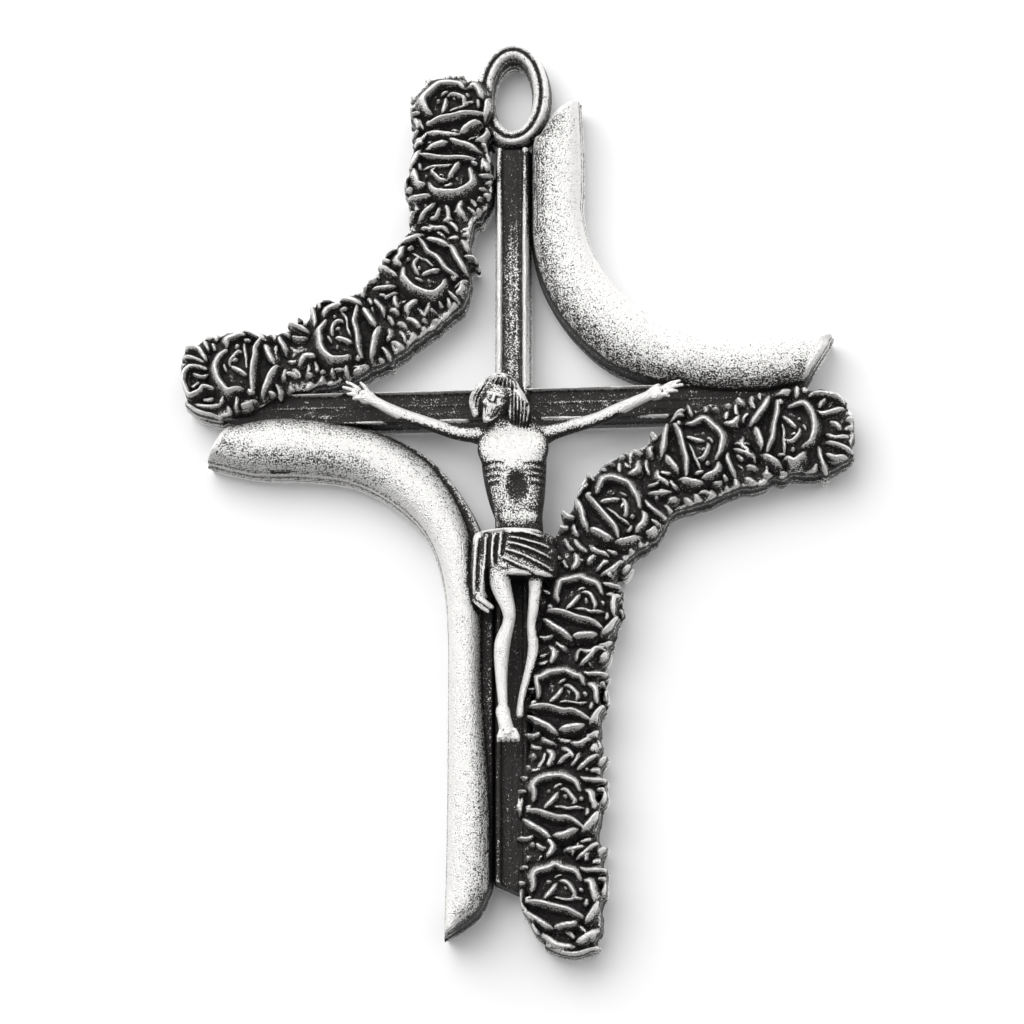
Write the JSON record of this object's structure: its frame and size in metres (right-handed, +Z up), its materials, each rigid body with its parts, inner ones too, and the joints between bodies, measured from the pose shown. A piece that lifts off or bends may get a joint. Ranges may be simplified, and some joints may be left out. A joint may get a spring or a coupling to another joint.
{
  "type": "crucifix pendant",
  "caption": "Small cast crucifix pendant: channelled cross bars, rose garlands and plain domed bands in opposite corners, a figure, and an oval hanging eye.",
  "frame": {"origin": "centre of the hole of the hanging eye", "axes": "+Z up along the upright towards the eye, front facing -Y, flat back facing +Y, crossbar along X"},
  "size_m": [0.0362, 0.0041, 0.0505],
  "materials": {
    "worn_silver": "antiqued silver plate, satin, bright on raised surfaces",
    "aged_silver": "antiqued silver plate, dark oxide left in channels and walls",
    "relief_silver": "antiqued silver plate, bright petal rims over near-black hollows"
  },
  "bodies": {
    "root": {"upright": "aged_silver", "crossbar": "aged_silver", "hanging_eye": "worn_silver", "upper_band": "worn_silver", "lower_band": "worn_silver", "upper_garland_plate": "aged_silver", "lower_garland_plate": "aged_silver", "rose_upper_1": "relief_silver", "rose_upper_2": "relief_silver", "rose_upper_3": "relief_silver", "rose_upper_4": "relief_silver", "rose_upper_5": "relief_silver", "leaves_upper_1": "relief_silver", "leaves_upper_2": "relief_silver", "leaves_upper_3": "relief_silver", "leaves_upper_4": "relief_silver", "rose_lower_1": "relief_silver", "rose_lower_2": "relief_silver", "rose_lower_3": "relief_silver", "rose_lower_4": "relief_silver", "rose_lower_5": "relief_silver", "rose_lower_6": "relief_silver", "rose_lower_7": "relief_silver", "leaves_lower_1": "relief_silver", "leaves_lower_2": "relief_silver", "leaves_lower_3": "relief_silver", "leaves_lower_4": "relief_silver", "leaves_lower_5": "relief_silver", "leaves_lower_6": "relief_silver", "bud_upper_end": "relief_silver", "bud_lower_side_end": "relief_silver", "bud_lower_foot_end": "relief_silver", "nail_head_left": "worn_silver", "nail_head_right": "worn_silver", "figure": "worn_silver"}
  },
  "joints": []
}
